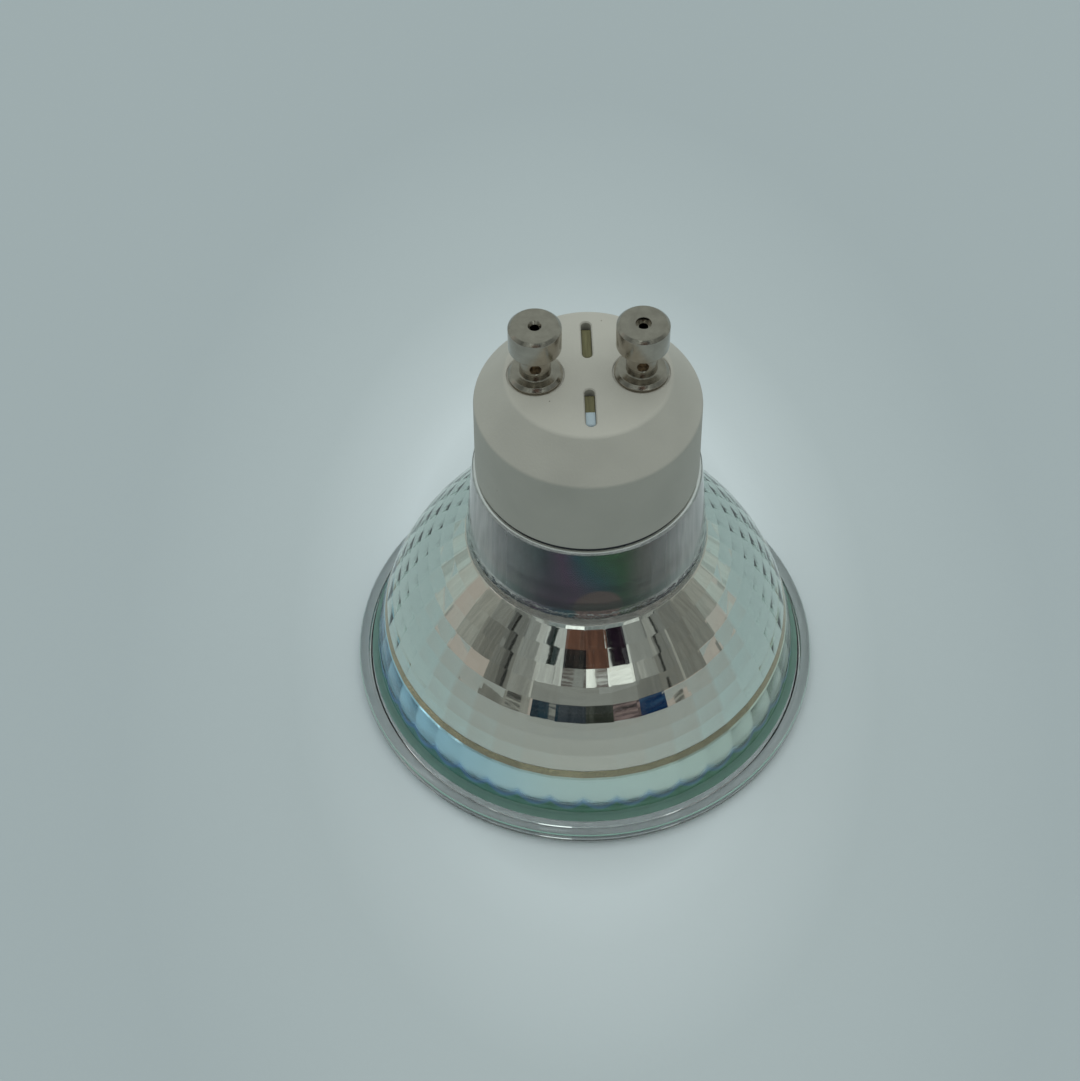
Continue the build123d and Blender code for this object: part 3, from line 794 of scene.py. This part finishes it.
def collar_material():
    """Aqua, turning to blue on the left, with a blue and green edge that dips at each column."""
    made, tree, shader = new_material("collar_coat")
    axes = axes_of(tree)
    turn = calculate(tree, "ARCTAN2", axes["Y"], axes["X"])
    half_columns = facet_columns / 2
    columns = calculate(tree, "MULTIPLY_ADD", turn, half_columns, -facet_turn * half_columns)
    scallop = calculate(tree, "ABSOLUTE", calculate(tree, "SINE", columns))
    height = calculate(tree, "ADD", axes["Z"], calculate(tree, "MULTIPLY", scallop, scallop_depth))
    share = share_of(tree, height, lens_seat_z, collar_top.y)
    across = share_of(tree, axes["X"], -collar_mouth_radius, collar_mouth_radius)
    film, edge = ramp(tree, across, collar_colours), ramp(tree, share, edge_colours)
    tree.links.new(mixed(tree, 1.0, film, edge, "MULTIPLY"), shader.inputs["Base Color"])
    metal = spread(tree, share_of(tree, share, 0.3, 0.55), 0.2, 1.0)
    tree.links.new(metal, shader.inputs["Metallic"])
    shader.inputs["Roughness"].default_value = 0.12
    bump(tree, shader, noise(tree, 1.5 * MM), 0.01 * MM)
    return made


collar_coat = collar_material()
print("collar colours:", len(collar_colours), "and", len(edge_colours), "at its edge")

# %% Give each zone of the glass its coat
zones = [glass, facet_mirror, gold_coat, collar_coat, ledge_coat, neck_coat, lip_coat, root_coat]
dress(reflector, zones, "coated_glass", "glass_reflector")
zone_of = {material.name: number for number, material in enumerate(zones)}
small = 0.05 * MM
for face in reflector.data.polygons:
    radius = hypot(face.center.x, face.center.y)
    height = face.center.z
    zone = "pressed_glass"
    on_inner_side = face.normal.x * face.center.x + face.normal.y * face.center.y < 0
    in_bowl = corners[-1].y + small < height < corners[0].y - small
    if in_bowl and on_inner_side:
        zone = "facet_mirror"
    elif gold_end.y < height < corners[-1].y and on_inner_side and radius < gold_end.x:
        zone = "gold_coat"
    elif lens_seat_z < height < gold_end.y and on_inner_side:
        zone = "collar_coat"
    elif abs(height - lens_seat_z) < small:
        zone = "ledge_coat"
    elif height > lip_z - small:
        zone = "lip_coat"
    elif height > corners[0].y + small and radius < neck_bore_radius + small:
        zone = "neck_coat"
    elif height > corners[0].y - small and radius < facet_top.x:
        zone = "root_coat"
    face.material_index = zone_of[zone]
    if zone in ("facet_mirror", "gold_coat"):
        face.use_smooth = False
used = [face.material_index for face in reflector.data.polygons]
print("faces in each zone:", {name: used.count(number) for name, number in zone_of.items()})

# %% [markdown]
# A flat clear cover closes the front, just inside the rim. A ring on its back centres it in
# the glass, and a bead of clear sealant holds it. They show only through the rim. A hair's gap
# keeps their faces out of the planes of the glass, where the two would fight over being seen.

# %% Front lens and sealants
seat_gap = 0.04 * MM
lens_back_z = lens_seat_z - seat_gap
rib_radius = 21.4 * MM
rib_width = 0.9 * MM
lens_outline = rounded([
    (0, lens_face_z),
    (lens_radius, lens_face_z, 0.2 * MM),
    (lens_radius, lens_back_z, 0.1 * MM),
    (rib_radius, lens_back_z),
    (rib_radius, lens_rib_top, 0.15 * MM),
    (rib_radius - rib_width, lens_rib_top, 0.15 * MM),
    (rib_radius - rib_width, lens_back_z),
    (0, lens_back_z),
])
front_cover = smooth(turned("front_cover", lens_outline, looped=False))
cover_finish = clear_glass("clear_cover", (0.96, 0.985, 0.98), 0.005 * MM)
dress(front_cover, cover_finish, "clear_lens", "front_lens")

bead_gap = 0.02 * MM
bead_low, bead_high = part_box("lens_sealant")[0].z, lens_seat_z - seat_gap
bead_outline = rounded([
    (lens_radius + bead_gap, bead_low + 0.1 * MM, 0.03 * MM),
    (mouth_radius - bead_gap, bead_low, 0.03 * MM),
    (mouth_radius - bead_gap, bead_high),
    (lens_radius + bead_gap, bead_high),
])
cover_bead = smooth(turned("cover_bead", bead_outline))
bead_finish = finish_of(
    "clear_silicone", (0.62, 0.64, 0.62), (0.5, 0.52, 0.5), grain=0.4 * MM, gloss=(0.3, 0.5)
)
dress(cover_bead, bead_finish, "clear_sealant", "lens_sealant")

neck_ring_outline = rounded([
    (neck_bore_radius, lip_z + seat_gap),
    (neck_sealant_radius, lip_z + seat_gap, 0.05 * MM),
    (neck_sealant_radius - 0.05 * MM, base_edge_z, 0.05 * MM),
    (neck_bore_radius, base_edge_z),
])
neck_ring = smooth(turned("neck_ring", neck_ring_outline))
# Painted shadow: the sealant ring is real, but its near-black colour stands for the shadow in the
# gap under the base's edge.
neck_ring_painted_shadow = finish_of(
    "sealant_painted_gap_shadow", (0.03, 0.035, 0.05), (0.012, 0.014, 0.02), grain=0.4 * MM, gloss=(0.25, 0.5)
)
dress(neck_ring, neck_ring_painted_shadow, "dark_sealant", "neck_sealant")

# %% [markdown]
# The base is moulded in a matte warm white. Its wall, cone and top are one turned outline, and
# the slots and pin seats are cut with the Boolean modifier. Each cutter flares at its mouth,
# which leaves the small soft edge that a moulding has, where a Bevel modifier would trip over
# the many small faces round a cut.

# %% Helper: cut and join
def combine(piece, other, operation="DIFFERENCE"):
    """Cuts or joins with a Boolean, keeps the result as the piece's own mesh, drops the other."""
    step = piece.modifiers.new("combine", "BOOLEAN")
    step.operation = operation
    step.solver = "EXACT"
    step.object = other
    graph = bpy.context.evaluated_depsgraph_get()
    result = bpy.data.meshes.new_from_object(piece.evaluated_get(graph))
    piece.modifiers.clear()
    piece.data = result
    bpy.data.objects.remove(other)
    return piece


def stadium(centre_y, length, width, height, steps=16):
    """A slot's outline along Y, as one ring of points."""
    ring = []
    reach_y = (length - width) / 2
    for end in (1, -1):
        for step in range(steps + 1):
            turn = (0 if end > 0 else pi) + pi * step / steps
            x = width / 2 * cos(turn)
            ring.append((x, centre_y + end * reach_y + width / 2 * sin(turn), height))
    return ring


def capped(name, rings):
    """A closed solid from a stack of rings, with a point in the middle of each end."""
    ends = [[tuple(sum(axis) / len(ring) for axis in zip(*ring))] for ring in (rings[0], rings[-1])]
    return skin(name, [ends[0], *rings, ends[1]], looped=False)


# %% Base body
base_wall_top = base_edge_z + 9.25 * MM
base_shoulder_radius = 11.0 * MM
base_top_radius = 7.95 * MM
base_roof_z = base_top_z - 2.2 * MM
plug_radius = 9.9 * MM
cavity_radius = 8.4 * MM
cone_slope = (base_shoulder_radius - base_top_radius) / (base_top_z - base_wall_top)
cavity_roof_radius = cavity_radius - cone_slope * (base_roof_z - base_wall_top)
base_outline = rounded([
    (cavity_radius, plug_end_z),
    (plug_radius, plug_end_z),
    (plug_radius, base_edge_z),
    (base_edge_radius, base_edge_z, 0.3 * MM),
    (base_shoulder_radius, base_wall_top, 0.6 * MM),
    (base_top_radius, base_top_z, 0.6 * MM),
    (0, base_top_z),
    (0, base_roof_z),
    (cavity_roof_radius, base_roof_z),
    (cavity_radius, base_wall_top),
])
base = turned("base_moulding", base_outline, segments=240)

# %% Slots, pin seats and board rails of the base
slot_width = 1.0 * MM
slot_length = 4.6 * MM
slot_centre = 4.3 * MM
slot_flare = 0.12 * MM
pin_x = (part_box("pin_right")[0].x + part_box("pin_right")[1].x) / 2
pin_foot_radius = (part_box("pin_right")[1].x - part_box("pin_right")[0].x) / 2
seat_depth = 0.15 * MM
seat_radius = pin_foot_radius + 0.12 * MM
seat_flare, seat_flare_depth = 0.08 * MM, 0.06 * MM
pin_hole_radius = 1.45 * MM
above = base_top_z + 1 * MM
below = base_roof_z - 1 * MM

for side in (-1, 1):
    levels = [
        (above, slot_flare), (base_top_z, slot_flare), (base_top_z - slot_flare, 0), (below, 0)
    ]
    rings = [
        stadium(side * slot_centre, slot_length + 2 * flare, slot_width + 2 * flare, height)
        for height, flare in levels
    ]
    combine(base, capped("slot_cutter", rings))
    seat_outline = [
        (0, above), (seat_radius + seat_flare, above), (seat_radius + seat_flare, base_top_z),
        (seat_radius, base_top_z - seat_flare_depth), (seat_radius, base_top_z - seat_depth),
        (pin_hole_radius, base_top_z - seat_depth), (pin_hole_radius, below), (0, below),
    ]
    combine(base, turned("seat_cutter", seat_outline, side * pin_x, segments=96, looped=False))

rail_thickness = 0.8 * MM
rail_inner_y = cavity_radius - 0.55 * MM
rail_outer_y = cavity_radius + 0.7 * MM
rail_low, rail_high = plug_end_z + 2.5 * MM, base_wall_top - 1.5 * MM
for side_x in (-1, 1):
    for side_y in (-1, 1):
        near_x, far_x = side_x * slot_width / 2, side_x * (slot_width / 2 + rail_thickness)
        near_y, far_y = side_y * rail_inner_y, side_y * rail_outer_y
        flat = [(near_x, near_y), (far_x, near_y), (far_x, far_y), (near_x, far_y)]
        rings = [[(x, y, height) for x, y in flat] for height in (rail_low, rail_high)]
        combine(base, capped("rail", rings), "UNION")
smooth(base, 25)
print("base cut:", len(base.data.polygons), "faces")


# %% Matte white moulding
speck_spacing = 1.3 * MM
speck_size = 0.05
speck_share = 0.2
speck_colour = (0.12, 0.11, 0.09, 1)


def moulded_white():
    """Warm white plastic with a fine grain and a few dark specks."""
    made, tree, shader = new_material("matte_white")
    grains = noise(tree, 0.25 * MM, detail=4.0)
    clouds = noise(tree, 6 * MM, detail=2.0)
    white = ramp(tree, clouds, [(0.35, (0.362, 0.37, 0.328)), (0.65, (0.392, 0.4, 0.354))])
    settings = {"Vector": place(tree), "Scale": 1 / speck_spacing}
    cells = add(tree, "ShaderNodeTexVoronoi", settings).outputs
    near = calculate(tree, "LESS_THAN", cells["Distance"], speck_size)
    pick = add(tree, "ShaderNodeSeparateColor", {"Color": cells["Color"]}).outputs["Red"]
    few = calculate(tree, "LESS_THAN", pick, speck_share)
    colour = mixed(tree, calculate(tree, "MULTIPLY", near, few), white, speck_colour)
    tree.links.new(colour, shader.inputs["Base Color"])
    tree.links.new(spread(tree, grains, 0.5, 0.65), shader.inputs["Roughness"])
    bump(tree, shader, grains, 0.02 * MM)
    return made


dress(base, moulded_white(), "base_plastic", "base_cap")

# %% [markdown]
# The contact pins are turned from brass, plated with nickel and hollow. The wires end in them
# and are held by a crimp, the small dimple in each neck. The outline holds the head's chamfer,
# the neck and the sloped foot. The dimple is a small cone cut from the front and the back, and
# its inside is painted a dark brown that stands for the shade in its hollow.

# %% Contact pins
rivet_low, pin_tip_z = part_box("pin_right")[0].z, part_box("pin_right")[1].z
head_height = 2.9 * MM
neck_length = 3.15 * MM
head_radius = 2.5 * MM
neck_radius = 1.48 * MM
foot_slope_radius = 2.3 * MM
bore_radius = 0.45 * MM
tail_radius = 1.4 * MM
rivet_radius = 2.1 * MM
pin_seat_z = base_top_z - seat_depth
head_low = pin_tip_z - head_height
foot_top = head_low - neck_length
head_chamfer = 0.3 * MM
foot_edge = 0.35 * MM
# Each tip: its side along X, and its hole's radius at the mouth, radius at the floor and depth.
tips = {
    "left": (-1, 0.64 * MM, 0.46 * MM, 0.3 * MM),
    "right": (1, 0.73 * MM, 0.70 * MM, 0.5 * MM),
}


def turned_sideways(name, outline, at):
    """A solid turned about an axis that points along Y, with its heights measured along Y."""
    made = turned(name, outline, segments=48, looped=False)
    made.data.transform(Matrix.Translation(at) @ Matrix.Rotation(-pi / 2, 4, "X"))
    made.data.update()
    return made


def nickel(name, polished, worn):
    """Plated metal with the fine rings that turning leaves, between two roughnesses."""
    made, tree, shader = new_material(name)
    rings = noise(tree, 0.6 * MM, detail=2.0, stretch=(6, 6, 0.12))
    clouds = noise(tree, 0.8 * MM)
    colour = ramp(tree, clouds, [(0.3, (0.37, 0.335, 0.285)), (0.7, (0.45, 0.41, 0.35))])
    tree.links.new(colour, shader.inputs["Base Color"])
    shader.inputs["Metallic"].default_value = 1.0
    tree.links.new(spread(tree, clouds, polished, worn), shader.inputs["Roughness"])
    bump(tree, shader, rings, 0.006 * MM)
    return made


nickel_plate = nickel("nickel_plate", 0.14, 0.26)
# Painted shade: the inside of each dimple is a dark brown that stands for the shade in its hollow.
crimp_painted_shade = finish_of(
    "dimple_painted_shade", (0.2, 0.13, 0.07), (0.05, 0.035, 0.02),
    grain=0.25 * MM, gloss=(0.3, 0.5), metal=0.8,
)
crimp_radius = 0.72 * MM
crimp_height = (foot_top + head_low) / 2
dimple_outline = [
    (0, -0.5 * MM), (0.75 * MM, -0.5 * MM), (0.68 * MM, -0.03 * MM),
    (0.6 * MM, 0.06 * MM), (0.32 * MM, 0.4 * MM), (0, 0.4 * MM),
]
for side, (direction, tip_radius, tip_floor, tip_depth) in tips.items():
    pin_outline = rounded([
        (bore_radius, rivet_low),
        (rivet_radius, rivet_low, 0.1 * MM),
        (rivet_radius, base_roof_z),
        (tail_radius, base_roof_z),
        (tail_radius, pin_seat_z),
        (pin_foot_radius, pin_seat_z),
        (pin_foot_radius, pin_seat_z + foot_edge, 0.12 * MM),
        (foot_slope_radius, foot_top, 0.12 * MM),
        (neck_radius, foot_top, 0.15 * MM),
        (neck_radius, head_low, 0.12 * MM),
        (head_radius, head_low, 0.2 * MM),
        (head_radius, pin_tip_z - head_chamfer, 0.1 * MM),
        (head_radius - head_chamfer, pin_tip_z, 0.1 * MM),
        (tip_radius, pin_tip_z, 0.05 * MM),
        (tip_floor, pin_tip_z - tip_depth),
        (bore_radius, pin_tip_z - tip_depth),
    ])
    pin = turned(f"contact_pin_{side}", pin_outline, centre_x=direction * pin_x)
    for front in (-1, 1):
        dimple = [(radius, -front * depth) for radius, depth in dimple_outline]
        at = (direction * pin_x, front * neck_radius, crimp_height)
        combine(pin, turned_sideways("dimple_cutter", dimple, at))
    smooth(pin, 30)
    dress(pin, [nickel_plate, crimp_painted_shade], "nickel", f"pin_{side}")
    for face in pin.data.polygons:
        aside, high = face.center.x - direction * pin_x, face.center.z - crimp_height
        in_crimp = hypot(aside, high) < crimp_radius
        from_axis = hypot(aside, face.center.y)
        in_wall = bore_radius + small < from_axis < neck_radius - small
        face.material_index = int(in_crimp and in_wall)
    print("faces in the crimps:", sum(face.material_index for face in pin.data.polygons))

# %% [markdown]
# What is left are the parts that such a lamp holds inside: the driver board with its parts, the
# wires, and the LED board. Only the board's olive edge shows, in the slots of the base. Their
# shapes come from the frame, and each gets the finish of the real component.

# %% Cut edge of the driver board
# Painted light: a pale blue patch at the top of the board's edge, near the end of the front slot,
# stands for light that shows through there.
painted_light_patch_y = -4.5 * MM
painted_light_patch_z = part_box("driver_board")[1].z - 0.5 * MM
painted_light_patch_colour = (0.33, 0.42, 0.46, 1)


def board_edge():
    """Olive laminate in fine layers, with a painted pale patch of light near the end of the front
    slot.
    """
    made = finish_of(
        "fibre_laminate", (0.125, 0.12, 0.055), (0.08, 0.075, 0.03),
        grain=0.5 * MM, gloss=(0.35, 0.5), stretch=(0.3, 4, 1),
    )
    tree, shader = made.node_tree, made.node_tree.nodes["Principled BSDF"]
    axes = axes_of(tree)
    near_end = calculate(tree, "LESS_THAN", axes["Y"], painted_light_patch_y)
    at_edge = calculate(tree, "GREATER_THAN", axes["Z"], painted_light_patch_z)
    painted_light_patch = calculate(tree, "MULTIPLY", near_end, at_edge)
    laminate = shader.inputs["Base Color"].links[0].from_socket
    colour = mixed(tree, painted_light_patch, laminate, painted_light_patch_colour)
    tree.links.new(colour, shader.inputs["Base Color"])
    return made


# %% Finishes of the inner parts
def grey_paint(level):
    """A plain grey."""
    return (level, level, level)


# Each look: its name, light shade, dark shade, grain, range of roughness, and then how far it
# is a metal, its relief and how its grain is stretched where these aren't the usual ones.
inner_looks = {
    "tinned_wire": (
        "tinned_copper", (0.72, 0.72, 0.7), (0.6, 0.6, 0.58), 0.3 * MM, (0.2, 0.35), 1.0
    ),
    "film_case": ("dipped_red", (0.5, 0.1, 0.05), (0.38, 0.06, 0.03), 1 * MM, (0.2, 0.3)),
    "can_sleeve": ("shrunk_sleeve", (0.035, 0.035, 0.05), (0.02, 0.02, 0.03), 1 * MM, (0.25, 0.4)),
    "fuse_paint": ("flameproof_coat", (0.28, 0.42, 0.35), (0.2, 0.33, 0.27), 0.3 * MM, (0.5, 0.7)),
    "ferrite": ("sintered_ferrite", grey_paint(0.08), grey_paint(0.05), 0.1 * MM, (0.4, 0.6)),
    "copper_wire": (
        "enamelled_copper", (0.62, 0.28, 0.13), (0.32, 0.11, 0.05), 0.35 * MM, (0.2, 0.35), 1.0,
        0.06 * MM, (0.5, 20, 20),
    ),
    "black_package": ("moulded_epoxy", grey_paint(0.035), grey_paint(0.022), 0.1 * MM, (0.45, 0.6)),
    "chip_ceramic": (
        "fired_ceramic", (0.45, 0.36, 0.26), (0.35, 0.27, 0.18), 0.3 * MM, (0.35, 0.5)
    ),
    "link_brass": ("tinned_brass", (0.66, 0.53, 0.3), (0.5, 0.38, 0.2), 0.3 * MM, (0.2, 0.35), 1.0),
    "led_board_white": ("white_mask", (0.86, 0.86, 0.84), (0.78, 0.78, 0.76), 0.4 * MM, (0.3, 0.4)),
}
finishes = {slot: finish_of(*look) for slot, look in inner_looks.items()}
finishes["board_laminate"] = board_edge()
slot_of = {part["node"]: part["material_slot"] for part in frame["record"]["subparts"]}
for node, slot in slot_of.items():
    if slot in finishes:
        inner_part = frame["nodes"][node]
        inner_part.data.materials.clear()
        inner_part.data.materials.append(finishes[slot])
print("inner finishes:", len(finishes))

# %% [markdown]
# Each LED is a white frame round a well of yellow phosphor. The shader tells them apart by the
# distance from the LED's own middle, which its box gives.

# %% LEDs
led_count = 6
well_radius = 1.15 * MM
led_colours = [(0.0, (0.9, 0.68, 0.08)), (0.5, (0.9, 0.66, 0.07)), (0.52, (0.86, 0.86, 0.82))]
for number in range(1, led_count + 1):
    led = frame["nodes"][f"led_{number}"]
    low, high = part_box(led.name)
    led_material, tree, shader = new_material(f"led_package_{number}")
    led_middle = ((low.x + high.x) / 2, (low.y + high.y) / 2, low.z)
    away = add(
        tree, "ShaderNodeVectorMath", {0: place(tree), 1: led_middle}, operation="DISTANCE"
    ).outputs["Value"]
    colour = ramp(tree, calculate(tree, "DIVIDE", away, 2 * well_radius), led_colours)
    tree.links.new(colour, shader.inputs["Base Color"])
    tree.links.new(spread(tree, noise(tree, 0.2 * MM), 0.3, 0.45), shader.inputs["Roughness"])
    led.data.materials.clear()
    led.data.materials.append(led_material)
print("LEDs ready")

# %% [markdown]
# Last, the view transform is set to Standard.

# %% View transform
bpy.context.scene.view_settings.view_transform = "Standard"
